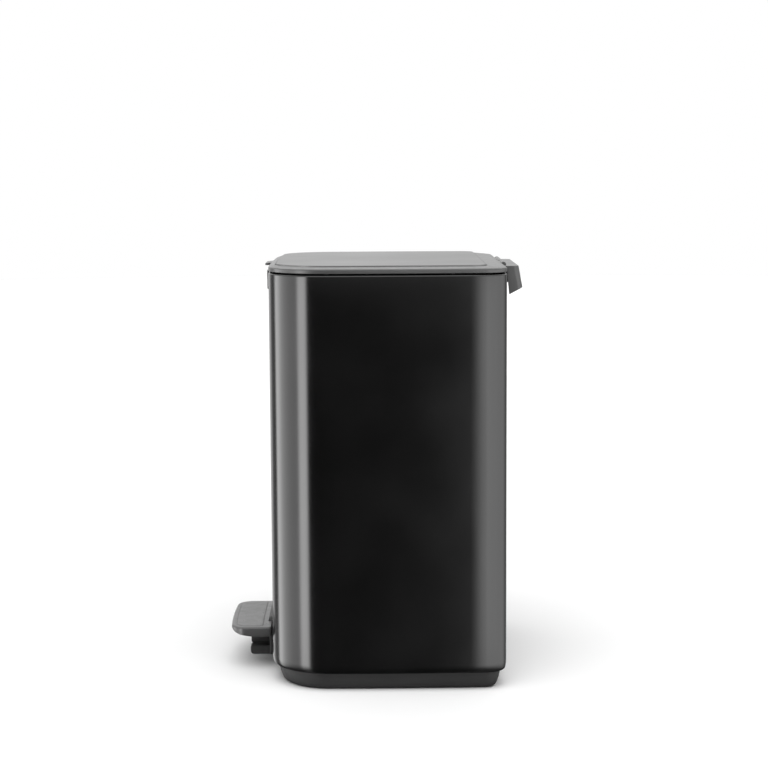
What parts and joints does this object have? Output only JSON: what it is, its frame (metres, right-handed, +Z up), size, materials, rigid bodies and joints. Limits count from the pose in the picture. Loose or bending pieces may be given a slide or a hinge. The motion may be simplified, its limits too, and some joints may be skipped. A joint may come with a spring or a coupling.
{
  "type": "pedal trash can",
  "caption": "Rectangular pedal bin with a hinged lid, a hanging inner bucket and a push rod linking the pedal to the lid.",
  "frame": {"origin": "on the floor, below the middle of the whole footprint", "axes": "+Z up, -Y towards the pedal, +Y towards the carry handle, X across"},
  "size_m": [0.2698, 0.2804, 0.3935],
  "materials": {
    "black_steel": "satin black coating",
    "grey_plastic": "fine moulded satin",
    "dark_plastic": "fine moulded grain",
    "lid_metal": "satin grey coating",
    "zinc_steel": "zinc plated",
    "rubber": "matt",
    "bucket_plastic": "semi-matt moulded"
  },
  "bodies": {
    "root": {"body_shell": "black_steel", "base_tray": "dark_plastic", "anti_slip_ring": "rubber", "top_collar": "dark_plastic", "inner_bucket": "bucket_plastic", "front_badge": "grey_plastic", "carry_handle": "grey_plastic", "handle_screw_left": "zinc_steel", "handle_screw_right": "zinc_steel", "hinge_pin": "zinc_steel", "pedal_guard": "dark_plastic", "guard_screw_left": "zinc_steel", "guard_screw_right": "zinc_steel", "pedal_axle": "zinc_steel", "axle_clip_left": "zinc_steel", "axle_clip_right": "zinc_steel", "rod_cover": "dark_plastic", "rod_guide_lower": "dark_plastic", "rod_guide_upper": "dark_plastic", "damper_cylinder": "dark_plastic"},
    "lid": {"lid_frame": "grey_plastic", "lid_plate": "lid_metal", "lid_liner": "bucket_plastic", "lid_crank": "zinc_steel", "crank_screw_left": "zinc_steel", "crank_screw_right": "zinc_steel", "lid_bumper_front_left": "rubber", "lid_bumper_front_right": "rubber", "lid_bumper_back_left": "rubber", "lid_bumper_back_right": "rubber"},
    "pedal": {"pedal_pad": "grey_plastic", "pedal_tread": "grey_plastic", "pedal_lever": "zinc_steel", "pedal_screw_front": "zinc_steel", "pedal_screw_rear": "zinc_steel"},
    "lift": {"push_rod": "zinc_steel", "rod_pin": "zinc_steel", "damper_plunger": "zinc_steel"}
  },
  "joints": [
    {"name": "lid_hinge", "type": "hinge", "parent": "root", "child": "lid", "pos_m": [0, 0.1228, 0.3892], "axis": [-1, 0, 0], "range_deg": [0, 80]},
    {"name": "pedal_hinge", "type": "hinge", "parent": "root", "child": "pedal", "pos_m": [0, -0.0484, 0.0184], "axis": [1, 0, 0], "range_deg": [0, 10.35]},
    {"name": "rod_slide", "type": "slide", "parent": "root", "child": "lift", "axis": [0, 0, 1], "range_m": [0, 0.0282]}
  ],
  "couplings": [
    {"joint": "pedal_hinge", "follows": "lid_hinge", "ratio": 0.12934},
    {"joint": "rod_slide", "follows": "lid_hinge", "m_per_rad": 0.02019}
  ]
}
